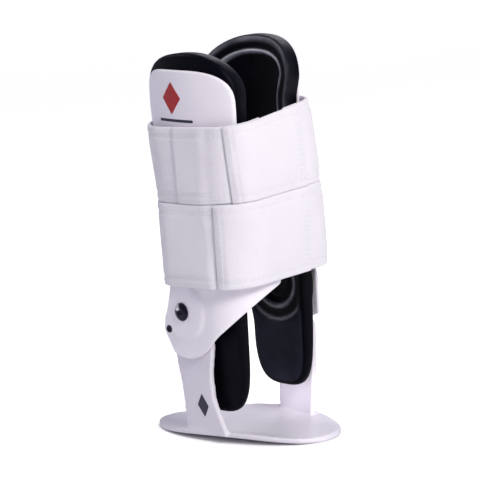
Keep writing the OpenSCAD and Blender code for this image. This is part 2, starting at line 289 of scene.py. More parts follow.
def lathe(profile, centre, side, steps=48):
    """A solid turned about the Y direction: profile is (radius, distance from the middle)."""
    profile = np.asarray(profile, float)
    ring = np.radians(np.linspace(0, 360, steps, endpoint=False))
    verts = [[centre[0] + r * math.cos(a), side * y, centre[1] + r * math.sin(a)]
             for r, y in profile for a in ring]
    faces = []
    for i in range(len(profile) - 1):
        for j in range(steps):
            k = (j + 1) % steps
            faces.append((i * steps + j, i * steps + k, (i + 1) * steps + k, (i + 1) * steps + j))
    return np.array(verts), faces


# ---------------------------------------------------------------- materials
class Shader:
    """A small node tree around one Principled shader."""

    def __init__(self, name):
        self.mat = bpy.data.materials.new(name)
        self.mat.use_nodes = True
        self.tree = self.mat.node_tree
        self.bsdf = next(n for n in self.tree.nodes if n.type == "BSDF_PRINCIPLED")
        self.coords = self.node("ShaderNodeTexCoord")

    def node(self, kind, **inputs):
        n = self.tree.nodes.new(kind)
        for key, value in inputs.items():
            n.inputs[key.replace("_", " ")].default_value = value
        return n

    def link(self, a, b):
        self.tree.links.new(a, b)

    def noise(self, scale, detail=3.0, where="Object"):
        n = self.node("ShaderNodeTexNoise", Scale=scale, Detail=detail)
        self.link(self.coords.outputs[where], n.inputs["Vector"])
        return n.outputs["Fac"]

    def wave(self, scale, direction, distortion):
        n = self.node("ShaderNodeTexWave", Scale=scale, Distortion=distortion)
        n.bands_direction = direction
        self.link(self.coords.outputs["UV"], n.inputs["Vector"])
        return n.outputs["Fac"]

    def mask(self, name):
        """The value stored on the mesh under a name."""
        n = self.node("ShaderNodeAttribute")
        n.attribute_name = name
        return n.outputs["Fac"]

    def math(self, kind, a, b):
        n = self.node("ShaderNodeMath")
        n.operation = kind
        for i, value in enumerate((a, b)):
            if isinstance(value, (int, float)):
                n.inputs[i].default_value = value
            else:
                self.link(value, n.inputs[i])
        return n.outputs[0]

    def ramp(self, fac, low, high, start=0.3, end=0.7):
        """Colours between low and high as fac goes from start to end."""
        n = self.node("ShaderNodeValToRGB")
        n.color_ramp.elements[0].position = start
        n.color_ramp.elements[1].position = end
        n.color_ramp.elements[0].color = (*low, 1)
        n.color_ramp.elements[1].color = (*high, 1)
        self.link(fac, n.inputs["Fac"])
        return n.outputs["Color"]

    def mix(self, fac, a, b):
        n = self.node("ShaderNodeMix")
        n.data_type = "RGBA"
        self.link(fac, n.inputs[0])
        self.link(a, n.inputs[6])
        self.link(b, n.inputs[7])
        return n.outputs[2]

    def rough(self, fac, low, high):
        n = self.node("ShaderNodeMapRange")
        self.link(fac, n.inputs["Value"])
        n.inputs["To Min"].default_value = low
        n.inputs["To Max"].default_value = high
        self.link(n.outputs["Result"], self.bsdf.inputs["Roughness"])

    def relief(self, height, distance, strength=1.0):
        n = self.node("ShaderNodeBump")
        n.inputs["Strength"].default_value = strength
        n.inputs["Distance"].default_value = distance
        self.link(height, n.inputs["Height"])
        self.link(n.outputs["Normal"], self.bsdf.inputs["Normal"])

    def set(self, **values):
        for key, value in values.items():
            self.bsdf.inputs[key.replace("_", " ")].default_value = value
        return self.mat


def plastic(name, light, dark, low, high):
    """Moulded polypropylene: faint flow marks, scuffs and orange peel."""
    s = Shader(name)
    s.link(s.ramp(s.noise(14, 4), dark, light), s.bsdf.inputs["Base Color"])
    s.rough(s.noise(60, 4), low, high)
    peel = s.math("ADD", s.noise(900, 2), s.math("MULTIPLY", s.noise(35, 2), 2.5))
    s.relief(peel, 0.00012, 0.35)
    return s.set(Specular_IOR_Level=0.5, Coat_Weight=0.12, Coat_Roughness=0.25)


def foam():
    """Soft skinned pad: near black, matte grey on its panel, with a lighter grey painted along its
    ridges and rings as a highlight.
    """
    s = Shader("pad_foam_skin")
    smooth_panel, ridge = s.mask("panel"), s.mask("ridge")
    skin = s.ramp(s.noise(40, 4), (0.0006, 0.0007, 0.0025), (0.0016, 0.0018, 0.0055))
    # painted highlight: the lighter grey laid along the ridges and rings
    painted_highlight = s.ramp(s.noise(90, 4), (0.16, 0.17, 0.24), (0.38, 0.39, 0.48))
    cloth = s.ramp(s.noise(55, 4), (0.013, 0.014, 0.024), (0.022, 0.024, 0.038))
    skin = s.mix(s.math("MULTIPLY", ridge, s.noise(50, 2)), skin, painted_highlight)
    s.link(s.mix(smooth_panel, skin, cloth), s.bsdf.inputs["Base Color"])
    s.link(s.math("ADD", 0.06, s.math("MULTIPLY", ridge, 0.6)), s.bsdf.inputs["Specular IOR Level"])
    s.rough(s.math("ADD", s.math("MULTIPLY", s.noise(70, 3), 0.3),
                   s.math("MULTIPLY", smooth_panel, 0.7)), 0.36, 0.85)
    grain = s.math("ADD", s.noise(1500, 2), s.math("MULTIPLY", s.noise(160, 3), 2.0))
    s.relief(grain, 0.00022, 0.5)
    return s.mat


def fabric(name, light, dark, rib, depth):
    """Brushed loop fabric: fine knitted ribs under a soft nap, with slightly darker clouds."""
    s = Shader(name)
    nap = s.noise(700, 5, "UV")
    cloud = s.noise(28, 3)
    colour = s.math("ADD", s.math("MULTIPLY", nap, 0.45), s.math("MULTIPLY", cloud, 0.55))
    s.link(s.ramp(colour, dark, light), s.bsdf.inputs["Base Color"])
    s.rough(nap, 0.82, 1.0)
    weave = s.math("MULTIPLY", s.wave(rib, "X", 1.2), s.wave(rib * 0.8, "Y", 1.2))
    s.relief(s.math("ADD", weave, s.math("MULTIPLY", nap, 1.6)), depth, 0.7)
    return s.set(Sheen_Weight=0.35, Sheen_Roughness=0.5, Specular_IOR_Level=0.15)


def hooks():
    """Hook tape: rows of tiny moulded hooks."""
    s = Shader("hook_tape")
    dots = s.node("ShaderNodeTexVoronoi", Scale=900.0)
    s.link(s.coords.outputs["Object"], dots.inputs["Vector"])
    s.link(s.ramp(dots.outputs["Distance"], (0.62, 0.62, 0.66), (0.38, 0.38, 0.42), 0.1, 0.6),
           s.bsdf.inputs["Base Color"])
    s.rough(s.noise(300, 2), 0.5, 0.75)
    s.relief(dots.outputs["Distance"], 0.0004, 0.8)
    return s.set(Specular_IOR_Level=0.4)


def metal(name, light, dark, low, high):
    """Bare metal with fine scratches and darker stains."""
    s = Shader(name)
    s.link(s.ramp(s.noise(240, 4), dark, light), s.bsdf.inputs["Base Color"])
    s.rough(s.noise(900, 3), low, high)
    s.relief(s.noise(1400, 3), 0.00008, 0.4)
    return s.set(Metallic=0.9)


def blackened(name, light, dark, painted_highlight):
    """Blackened steel, with bright metal colour painted on as a highlight where the mesh's mask is
    set.
    """
    s = Shader(name)
    # a painted highlight: bright metal colour mixed in over the masked spot, broken up by noise
    highlight_mottle = s.math("ADD", 0.7, s.math("MULTIPLY", s.noise(500, 3), 0.6))
    highlight_share = s.math("MULTIPLY", s.mask("painted_highlight"), highlight_mottle)
    black = s.ramp(s.noise(240, 4), dark, light)
    bright = s.ramp(s.noise(300, 3), [0.8 * c for c in painted_highlight], painted_highlight)
    s.link(s.mix(highlight_share, black, bright), s.bsdf.inputs["Base Color"])
    s.rough(s.noise(900, 3), 0.16, 0.3)
    s.relief(s.noise(1400, 3), 0.00008, 0.4)
    return s.set(Metallic=0.9)


def thread():
    """Matt polyester sewing thread."""
    s = Shader("sewing_thread")
    s.link(s.ramp(s.noise(900, 2), (0.66, 0.65, 0.7), (0.85, 0.84, 0.88)),
           s.bsdf.inputs["Base Color"])
    s.rough(s.noise(900, 2), 0.7, 0.9)
    s.relief(s.noise(3000, 2), 0.0001, 0.6)
    return s.set(Sheen_Weight=0.2)


def print_ink(name, light, dark):
    """Pad-printed ink, slightly uneven."""
    s = Shader(name)
    s.link(s.ramp(s.noise(500, 4), dark, light), s.bsdf.inputs["Base Color"])
    s.rough(s.noise(700, 3), 0.35, 0.6)
    s.relief(s.noise(1200, 2), 0.00004, 0.4)
    return s.set(Specular_IOR_Level=0.4)


SHELL_MAT = plastic("shell_polypropylene", (0.90, 0.86, 0.94), (0.84, 0.80, 0.90), 0.3, 0.42)
# The stirrup's plastic is set darker than the shell's as painted shade, for the dimmer light on its
# arms' outer faces.
STIRRUP_MAT = plastic("stirrup_polypropylene", (0.77, 0.735, 0.83), (0.70, 0.665, 0.77), 0.28, 0.4)
BUSH_MAT = plastic("bush_acetal", (0.80, 0.78, 0.70), (0.72, 0.70, 0.62), 0.3, 0.42)
PAD_MAT = foam()
STRAP_MAT = fabric("loop_fabric", (0.86, 0.83, 0.90), (0.79, 0.76, 0.85), 700, 0.0002)
HOOK_MAT = hooks()
# its last colour is a painted highlight on the rivet heads
RIVET_MAT = blackened("rivet_steel", (0.03, 0.028, 0.05), (0.01, 0.009, 0.018), (0.9, 0.88, 0.95))
WASHER_MAT = metal("washer_steel", (0.62, 0.62, 0.66), (0.45, 0.45, 0.5), 0.22, 0.4)
THREAD_MAT = thread()
RED_INK = print_ink("red_ink", (0.45, 0.03, 0.03), (0.33, 0.015, 0.02))
DARK_INK = print_ink("dark_ink", (0.035, 0.03, 0.07), (0.015, 0.012, 0.035))


# ---------------------------------------------------------------- shells
def wall_at(x, depth):
    """Distance from the middle of the leg of the upper wall, at x."""
    r = WALL_R - depth
    return r * np.sqrt(np.maximum(1 - ((x - WALL_X) / r) ** 2, 0)) - (WALL_R - WALL_Y)


def shell_place(p, depth, bend_x=WING_X):
    """Points of a shell from outline coordinates: along the plan curve and up."""
    s, z = p[:, 0], p[:, 1]
    upper = np.stack([s, wall_at(s, depth), z], 1)
    angle = np.clip((s - bend_x) / WING_R, 0, math.pi / 2)
    r = WING_R - depth
    beyond = np.maximum(s - bend_x - WING_R * math.pi / 2, 0)
    x = np.where(s < bend_x, s, bend_x + r * np.sin(angle))
    y = np.where(s < bend_x, HOOD_Y - depth, WING_Y + r * np.cos(angle) - beyond)
    lower = np.stack([x, y, z], 1)
    start = FLAT_Z + HOOD_BLEND[0] + WING_BLEND * smooth(WING_X, WING_X + 12, s)
    share = smooth(0, 1, (z - start) / (FLAT_Z + HOOD_BLEND[1] - start))[:, None]
    return lower * (1 - share) + upper * share


def shell_faces(side):
    """Places a shell's outer and inner face."""
    bend_x = WING_X if side < 0 else MEDIAL_BEND_X

    def place(p, d):
        boss = BOSS_T * (1 - smooth(*BOSS_R, np.linalg.norm(p - HINGE, axis=1)))
        ear = EAR_T * (1 - smooth(*EAR_R, np.linalg.norm(p - PIN, axis=1)))
        drop = edge_drop(d, SHELL_EDGE, SHELL_T / 2)
        front = shell_place(p, drop - boss - ear, bend_x)
        back = shell_place(p, SHELL_T - drop, bend_x)
        for grid in (front, back):
            grid[:, 1] *= side
        return front, back
    return place


def shell_outline(side, rise):
    """A shell's outline, anticlockwise from its hood's front; only the outer one has a wing."""
    top_z, top_x = SHELL_HIGH[2] + rise - TOP_H, TOP_X[side]
    front_top = corner(0, top_z, top_x, TOP_H, 3)
    back_top = corner(0, top_z, -TOP_BACK_X, TOP_H, 5, 85, 0)
    back = [[-24.5, 154], [-11.5, FLAT_Z + 1], [-11, 100], [-14.5, PIVOT_Z]]
    ear = arc(PIN[0], PIN[1], 7, 165, 225)
    lobe = arc(HINGE[0], HINGE[1], LOBE_R, 250, 326, 30)
    if side > 0:
        front = [[34.5, WING_FOOT_Z], [34.5, 98], [31, 106], [31, 114], [top_x, 140]]
        return np.vstack([front, front_top, back_top, back, ear, lobe])
    tip = WING_X + WING_R * math.pi / 2 + WING_Y - WING_END
    s = np.linspace(WING_FOOT_X, tip, 40)
    bend = np.clip((s - WING_X) / WING_R, 0, math.pi / 2)
    x = WING_X + WING_R * np.sin(bend)
    y = WING_Y + WING_R * np.cos(bend) - np.maximum(s - WING_X - WING_R * math.pi / 2, 0)
    z = WING_FOOT_Z + WING_CLIMB[0] * (x - WING_FOOT_X) + WING_CLIMB[1] * (y - HOOD_Y)
    wing = np.stack([s, z], 1)
    front = [[tip, FLAT_Z + 2], [52, FLAT_Z + 2.5], [44, 119], [top_x, 140]]
    return np.vstack([wing, front, front_top, back_top, back, ear, lobe])


for label, side in SIDES.items():
    shell = panel(f"{label}_shell_cover", shell_outline(side, RISE[label]), shell_faces(side),
                  SHELL_MAT, f"{label}_upright")
    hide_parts(f"{label}_shell")


# ---------------------------------------------------------------- pads
RELIEF = 6.0                # how far the outer face falls back below the hinge
RELIEF_R = (26.0, 80.0)     # between these distances from it
PAD_EDGE = 2.6              # radius of the pads' rounded edges
PAD_PITCH, PAD_BLUR = 1.6, 2.0        # of its mesh, and of its outline's corners
PAD_TOP_X, PAD_TOP_H = 5.0, 26.0      # middle and height of the rounded top
PAD_FOOT_X, PAD_FOOT_H = 15.0, 40.0   # and of the rounded foot
ANKLE = np.array([12.5, 90.5])        # middle of the rings
RING_CORE, RING_IN, RING_OUT = 9.5, 17.6, 26.4   # their radii
DISH_DEPTH, CORE_DEPTH = 1.1, 2.2     # they lie in a dish, which is deeper in its middle
DISH_R = (29.0, 27.5)       # it fades in between these distances from its middle
DISH_D = (4.0, 9.0)         # and these from the pad's edge
STEP_DEPTH = 2.0            # inside a step along the edge, the pad lies lower
STEP_D = (11.3, 12.7)       # the step falls between these distances from the edge
STEP_Z = (116.0, 126.0)     # and fades in between these heights
STEP_LIP, STEP_LIP_D = 1.1, 10.5      # its raised lip, and the lip's distance from the edge
PANEL_H = 1.0               # height of the smooth panel, which fills the foot below the dish
PANEL_D = (2.6, 3.8)        # it fades in between these distances from the edge,
PANEL_R = (27.5, 28.7)      # these from the rings' middle,
PANEL_Z = (88.0, 76.0)      # and these heights


def pad_depth(p, depth):
    """Distance of a pad's face from the middle of the leg."""
    x, z = p[:, 0], p[:, 1]
    upper = wall_at(x, depth + WALL_Y - PAD_Y)
    flat = PAD_Y - depth
    share = smooth(FLAT_Z - 14, FLAT_Z + 8, z)
    return flat * (1 - share) + upper * share


def ring_distance(p, rise):
    """Distance from the middle of the rings."""
    return np.linalg.norm(p - ANKLE - [0, rise], axis=1)


def pad_panel(p, d, rise):
    """1 on the smooth raised panel at the pad's lower end."""
    return (smooth(*PANEL_D, d) * smooth(*PANEL_R, ring_distance(p, rise))
            * smooth(*PANEL_Z, p[:, 1] - rise))


def pad_faces(side, rise):
    """Places a pad's outer face and its moulded inner face."""
    def place(p, d):
        x, z = p[:, 0], p[:, 1]
        fall = RELIEF * np.clip((np.linalg.norm(p - HINGE, axis=1) - RELIEF_R[0])
                                / (RELIEF_R[1] - RELIEF_R[0]), 0, 1) * smooth(6, -4, z - PIVOT_Z)
        drop = edge_drop(d, PAD_EDGE, 1.0) * np.minimum(PAD_EDGE, 0.4 * (PAD_T - fall))
        outer = pad_depth(p, 0) - drop - fall
        step = smooth(*STEP_Z, z - rise) * (STEP_LIP * bump(d, STEP_LIP_D, 1.0)
                                            - STEP_DEPTH * smooth(*STEP_D, d))
        q = ring_distance(p, rise)
        rings = (0.9 * bump(q, RING_OUT, 1.1) + 1.3 * bump(q, RING_IN, 1.3)
                 + 0.6 * bump(q, RING_CORE, 1.2))
        dish = rings - DISH_DEPTH - CORE_DEPTH * smooth(16.5, 12.5, q)
        dish *= smooth(*DISH_R, q) * smooth(*DISH_D, d)
        plateau = pad_panel(p, d, rise)
        raised = dish * (1 - plateau) + PANEL_H * plateau + step
        inner = pad_depth(p, PAD_T) + drop - raised
        return (np.stack([x, side * outer, z], 1), np.stack([x, side * inner, z], 1))
    return place


def pad_outline(rise):
    """A pad's outline, anticlockwise from the front of its neck, which lies above the straps.

    Top front, top back, heel and toe are each a width and a squareness."""
    if rise:
        front, back, heel, toe, neck = (40, 2.4), (42, 2), (24.5, 3), (24, 3.8), (38.5, -34.5)
    else:
        front, back, heel, toe, neck = (34.5, 2), (51, 2.15), (22.5, 4), (24, 3), (39, -38)
    top, low = PAD_HIGH[2] + rise - PAD_TOP_H, PAD_LOW[2] + rise + PAD_FOOT_H
    neck_z = STRAP_Z["high"] + 1 + rise
    return np.vstack([[[neck[0], neck_z]],
                      corner(PAD_TOP_X, top, front[0], PAD_TOP_H, front[1]),
                      corner(PAD_TOP_X, top, -back[0], PAD_TOP_H, back[1], 85, 0),
                      [[neck[1], neck_z], [-27, 154], [-17, 100]],
                      corner(PAD_FOOT_X, low, -heel[0], -PAD_FOOT_H, heel[1]),
                      corner(PAD_FOOT_X, low, toe[0], -PAD_FOOT_H, toe[1], 88, 0)])


def pad_masks(side, rise):
    """Shader masks of a pad's inner face: its smooth panel, and the painted highlight on its ridges
    and rings.
    """
    loop = smooth_loop(pad_outline(rise), PAD_PITCH * EDGE_PITCH, PAD_BLUR)

    def on_inner(value_of):
        def value(co):
            p = co[:, [0, 2]]
            facing = side * co[:, 1] < pad_depth(p, PAD_T / 2)
            return value_of(p, edge_distance(p, loop)) * facing
        return value

    # where a lighter grey is painted on as a highlight: along the step, near the rim and on the
    # rings
    def ridge_highlight(p, d):
        step = 4.0 * bump(d, 10.8, 1.0) + 0.8 * bump(d, 2.4, 1.4)
        q = ring_distance(p, rise)
        rings = 1.1 * bump(q, RING_IN, 1.1) + 0.8 * bump(q, RING_OUT, 1.0)
        return step * smooth(*STEP_Z, p[:, 1] - rise) + rings * smooth(*DISH_D, d)
    return on_inner(lambda p, d: pad_panel(p, d, rise)), on_inner(ridge_highlight)


# Rows of points at these distances from the edge catch its rounding, the panel and the step
PAD_RINGS = (0.15, 0.55, 1.2, 2.0, 2.7, 3.3, 3.9, 4.8, 5.8, 6.8, 7.6, 8.4, 9.2, 9.9, 10.5, 11.1,
             11.7, 12.4, 13.1)
for label, side in SIDES.items():
    rise = RISE[label]
    pad = panel(f"{label}_pad_cushion", pad_outline(rise), pad_faces(side, rise), PAD_MAT,
                f"{label}_upright", PAD_PITCH, PAD_BLUR, PAD_RINGS)
    for name, mask in zip(("panel", "ridge"), pad_masks(side, rise)):
        set_attribute(pad, name, mask)
    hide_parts(f"{label}_pad")


# ---------------------------------------------------------------- straps
STRAP_T = 2.2
LAYER = 2.9                  # how far a flap stands outside its strap
STRAP_RISE = math.radians(-2.5)      # the straps climb towards the front by this
# Each level of the straps: front at the outer and inner side, back, half width;
# corner radii front outer, front inner, back; tilt in degrees
LEVELS = {"low": (54.5, 49.5, -23.5, 50.6, 24, 24, 18, 1.2),
          "mid": (51, 51, -33, 45.8, 24, 24, 24, 3.2),
          "high": (48.5, 45.4, -41.3, 43.5, 20, 24, 24, 7)}
SEAM_GAP = 0.06              # half the gap between the two straps
FLAP_ROOT_Y = 19.0           # where a flap is sewn on, at the front of the inner side
FLAP_LEAN = 0.1              # slope of the flaps' free ends and of the seams
FRONT_GAP = (-16.0, 8.0)     # the straps' ends leave this open, in Y, under the flaps
FRONT_X = 20.0               # ends and roots all lie forward of this
ARC_POINTS, LINE_POINTS = 28, 32     # points along each corner and each straight
FINE_POINTS = 1500           # steps for measuring along a row
STRAP_EDGE = np.array([0.0, 0.09, 0.35, 0.75, 1.15])   # rows of points close to an edge
EDGE_GAP = 1.6               # next column, as a multiple of the last of these
STRAP_INSET, STRAP_PITCH = 1.9, 1.5  # next row from the edge, and spacing of the rest
COLUMNS = {"strap": 190, "flap": 64}
HEM, FLAP_HEM = 6.2, 5.0     # hem lines, from the edge
HEEL = (-10, -26)            # middles, in X and Y, about which the outer back corner
INNER_FRONT = (25, 20)       # and the inner front corner are shaped
STITCH_PITCH, STITCH_LENGTH = 3.1, 2.0
# thread radius and height over the cloth, along one stitch
STITCH_SHAPE = ((0.02, -0.2), (0.26, 0.06), (0.3, 0.14), (0.26, 0.06), (0.02, -0.2))


def loop_row(level, z, grow):
    """One closed row of a strap, through its four rounded corners from the inner front one."""
    front_out, front_in, back, half, r0, r1, r2, tilt = level
    centres = np.array([[front_in - r1, half - r1], [back + r2, half - r2],
                        [back + r2, r2 - half], [front_out - r0, r0 - half]])
    radii = np.array([r1, r2, r2, r0], float)
    leave = []
    for i in range(4):
        d = centres[(i + 1) % 4] - centres[i]
        turn = math.acos((radii[i] - radii[(i + 1) % 4]) / np.linalg.norm(d))
        leave.append(math.atan2(d[1], d[0]) - turn)
    rows = []
    for i in range(4):
        a0, a1 = leave[i - 1], leave[i]
        while a1 < a0:
            a1 += 2 * math.pi
        rows.append(arc(*centres[i], radii[i] + grow, math.degrees(a0), math.degrees(a1),
                        ARC_POINTS))
    parts = []
    for i in range(4):
        parts.append(rows[i])
        parts.append(np.linspace(rows[i][-1], rows[(i + 1) % 4][0], LINE_POINTS)[1:-1])
    plan = np.vstack(parts)
    t = math.radians(tilt)
    x, y = plan[:, 0], plan[:, 1]
    y, up = y * math.cos(t), y * math.sin(t)
    c, s = math.cos(STRAP_RISE), math.sin(STRAP_RISE)
    return np.stack([x * c + up * s, y, z - x * s + up * c], 1)


def blended(a, b, f):
    """A level between two named ones."""
    return tuple(p + (q - p) * f for p, q in zip(LEVELS[a], LEVELS[b]))


def crossing(row, axis, value, last=False):
    """Position along a row's front where a coordinate rises past a value."""
    v = row[:, axis] - value
    ahead = np.roll(v, -1)
    hits = np.where((v < 0) & (ahead >= 0))[0]
    hits = [i for i in hits if row[i, 0] > FRONT_X]
    i = hits[-1] if last else hits[0]
    return i + v[i] / (v[i] - ahead[i])


def at_index(row, t):
    """Points of a closed row at fractional indices, up to two turns."""
    n = len(row)
    wrapped = np.vstack([row, row, row[:1]])
    return np.stack([np.interp(t, np.arange(2 * n + 1), wrapped[:, k]) for k in range(3)], 1)


def even(row, t0, t1, columns):
    """Indices from t0 to t1 at even spacing, with more close to both ends; also as lengths."""
    fine = np.linspace(t0, t1, FINE_POINTS)
    pts = at_index(row, fine)
    along = np.concatenate([[0], np.cumsum(np.linalg.norm(np.diff(pts, axis=0), axis=1))])
    inset = STRAP_EDGE[-1] * EDGE_GAP
    want = np.concatenate([STRAP_EDGE, np.linspace(inset, along[-1] - inset, columns),
                           along[-1] - STRAP_EDGE[::-1]])
    return np.interp(want, along, fine), want, along[-1]


def strap_grid(low, high, grow, kind, end_x=0.0):
    """Outer and inner points of a strap or flap, and the distances to its edges."""
    z0 = STRAP_Z[low] + (SEAM_GAP if low == "mid" else 0)
    z1 = STRAP_Z[high] - (SEAM_GAP if high == "mid" else 0)
    width = z1 - z0
    v = np.concatenate([STRAP_EDGE,
                        np.linspace(STRAP_INSET, width - STRAP_INSET, int(width / STRAP_PITCH)),
                        width - STRAP_EDGE[::-1]])
    outer, inner, us = [], [], []
    for h in v:
        level = blended(low, high, h / width)
        out = loop_row(level, z0 + h, grow)
        back = loop_row(level, z0 + h, grow - STRAP_T)
        if kind == "strap":
            t0 = crossing(out, 1, FRONT_GAP[1])
            t1 = crossing(out, 1, FRONT_GAP[0], last=True)
        else:
            t0 = crossing(out, 0, end_x + FLAP_LEAN * (width / 2 - h))
            t1 = crossing(out, 1, FLAP_ROOT_Y)
        if t1 < t0:
            t1 += len(out)
        t, u, length = even(out, t0, t1, COLUMNS[kind])
        outer.append(at_index(out, t))
        inner.append(at_index(back, t))
        us.append(np.stack([u, np.full(len(u), h), length - u, np.full(len(u), width - h)], 1))
    return np.array(outer), np.array(inner), np.array(us)


def strap_piece(name, grids, puff, body, node):
    """A strap or flap with rounded edges; puff gives how far its two faces stand out."""
    outer, inner, info = grids
    d = info.min(2)
    drop = edge_drop(d, STRAP_EDGE[-1], STRAP_T / 2)[..., None]
    through = (outer - inner) / STRAP_T
    stand, lift = puff(outer, info)
    front = outer + through * (stand[..., None] - drop)
    back = inner + through * (lift[..., None] + drop)
    same = d < 1e-6
    front[same] = back[same] = (front[same] + back[same]) / 2
    nv, nu = d.shape
    index = np.arange(nv * nu).reshape(nv, nu)
    quads = np.stack([index[:-1, :-1], index[:-1, 1:], index[1:, 1:], index[1:, :-1]], 2)
    quads = quads.reshape(-1, 4)
    verts = np.concatenate([front.reshape(-1, 3), back.reshape(-1, 3)])
    uv = np.tile(info[..., :2].reshape(-1, 2), (2, 1))
    obj = new_object(name, verts, np.concatenate([quads, quads[:, ::-1] + nv * nu]),
                     STRAP_MAT, body, uv)
    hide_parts(node)
    return obj, front, info


def stitches(name, front, info, lines, body):
    """Short threads along lines on a strap: (edge, distance from it, margins at both ends)."""
    normal = grid_normals(front)
    verts, faces = [], []
    sides = 6
    for edge, distance, start, end in lines:
        nv, nu = front.shape[:2]
        if edge in ("low", "high"):
            key = 1 if edge == "low" else 3
            row = int(np.argmin(np.abs(info[:, nu // 2, key] - distance)))
            path, nrm, along = front[row], normal[row], info[row, :, 0]
        else:
            key = 0 if edge == "first" else 2
            col = int(np.argmin(np.abs(info[nv // 2, :, key] - distance)))
            path, nrm, along = front[:, col], normal[:, col], info[:, col, 1]
        for a in np.arange(along.min() + start, along.max() - end, STITCH_PITCH):
            ts = a + np.linspace(0, STITCH_LENGTH, len(STITCH_SHAPE))
            line = np.stack([np.interp(ts, along, path[:, k]) for k in range(3)], 1)
            n = np.array([np.interp(a + STITCH_LENGTH / 2, along, nrm[:, k]) for k in range(3)])
            direction = line[-1] - line[0]
            side = np.cross(direction, n)
            side /= np.linalg.norm(side)
            for i, (r, lift) in enumerate(STITCH_SHAPE):
                for k in range(sides):
                    t = 2 * math.pi * k / sides
                    verts.append(line[i] + n * (lift + r * math.sin(t)) + side * r * math.cos(t))
                if i:
                    base = len(verts) - 2 * sides
                    for k in range(sides):
                        ahead = (k + 1) % sides
                        faces.append((base + k, base + ahead,
                                      base + sides + ahead, base + sides + k))
    return new_object(name, verts, faces, THREAD_MAT, body)


def angle_about(centre, x, y):
    """Direction of points from a centre, in degrees."""
    return np.degrees(np.arctan2(y - centre[1], x - centre[0]))


def ripple(u, h, reach, phase):
    """Slight waves in the cloth: reach is their length along it, across it, and their slant."""
    return np.sin(u / reach[0] + phase) * np.sin(h / reach[1] + u / reach[2] + phase)


def strap_relief(phase, seam_x, heel_tuck):
    """A strap's hems, waves and sewn patch, its inner front corner, and its tuck at the heel."""
    def relief(outer, info):
        u, h, rest, over = [info[..., k] for k in range(4)]
        x, y = outer[..., 0], outer[..., 1]
        free = smooth(40, 48, rest)                  # 0 where the flap lies on the strap
        hem = -0.55 * bump(over, HEM, 0.8) - 0.55 * bump(h, HEM, 0.8)
        wave = 0.7 * ripple(u, h, (15, 11, 60), phase)
        quilt = 0.9 * smooth(0, 10, np.minimum(h, over))
        heel = bump(angle_about(HEEL, x, y), -135, 34) * (y < 0)
        tuck = heel_tuck * heel * smooth(1, 0, h / (h + over))
        seam = x + FLAP_LEAN * (h - 25)
        patch = 0.8 * smooth(seam_x - 0.6, seam_x + 0.6, seam) * (y < 0) * (x > -30)
        patch = patch - 0.3 * bump(seam, seam_x - 1.2, 0.9) * (y < 0)
        corner_in = 1.6 * bump(angle_about(INNER_FRONT, x, y), 45, 32) * (y > 5)
        cloth = hem + (1 - 0.9 * heel) * (wave + quilt + patch)
        stand = free * (smooth(0, 20, u) * cloth + corner_in) - tuck
        return stand, corner_in * 0.9 - tuck
    return relief


def flap_relief(phase):
    """A flap's hems and waves; it grows thin towards its free end."""
    def relief(_, info):
        u, h, _, over = [info[..., k] for k in range(4)]
        hem = (-0.45 * bump(over, FLAP_HEM, 0.7) - 0.45 * bump(h, FLAP_HEM, 0.7)
               - 0.5 * bump(u, FLAP_HEM + 1, 0.8))
        wave = 0.8 * ripple(u, h, (13, 10, 40), phase)
        quilt = 0.9 * smooth(0, 10, np.minimum(np.minimum(h, over), u))
        thin = 1.3 * (1 - smooth(0, 6, u))
        stand = hem + wave * smooth(0, 10, u) + quilt + 0.1 - thin
        return stand, np.zeros_like(stand)
    return relief


def make_straps():
    # strap, its lowest and highest level, its flap's free end, its seam, its tuck, its waves' phase
    for label, low, high, end_x, seam_x, heel_tuck, phase in (
            ("upper", "mid", "high", 43.0, -1.2, 0.3, 1.3),
            ("lower", "low", "mid", 35.5, -40.0, 2.0, 4.1)):
        _, front, info = strap_piece(f"{label}_strap_band", strap_grid(low, high, 0.0, "strap"),
                                     strap_relief(phase, seam_x, heel_tuck), "lateral_upright",
                                     f"{label}_strap")
        stitches(f"{label}_strap_stitching", front, info,
                 [(edge, distance, 4, 8) for distance in (6.0, 3.2) for edge in ("low", "high")],
                 "lateral_upright")
        flap, front, info = strap_piece(f"{label}_flap_band",
                                        strap_grid(low, high, LAYER, "flap", end_x),
                                        flap_relief(phase), None, f"{label}_flap")
        threads = stitches(f"{label}_flap_stitching", front, info,
                           (("low", 4.8, 6, 6), ("high", 4.8, 6, 6), ("first", 6.0, 6, 6),
                            ("last", 3.0, 4, 4), ("last", 6.0, 4, 4)), None)
        for piece in (flap, threads):
            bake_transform(piece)


make_straps()


# ---------------------------------------------------------------- hinge hardware
HEAD_T = 2.0                 # thickness of a rivet's head
HIGHLIGHT_AT = (-2.9, 3.1)         # painted highlight on the heads, from the hinge along X and Z
HIGHLIGHT_R = (1.7, 2.7)           # it fades out between these distances from its middle


def highlight_spot(co):
    """1 on the painted highlight of a rivet's head."""
    off = np.hypot(co[:, 0] - HIGHLIGHT_AT[0], co[:, 2] - PIVOT_Z - HIGHLIGHT_AT[1])
    return 1 - smooth(*HIGHLIGHT_R, off)


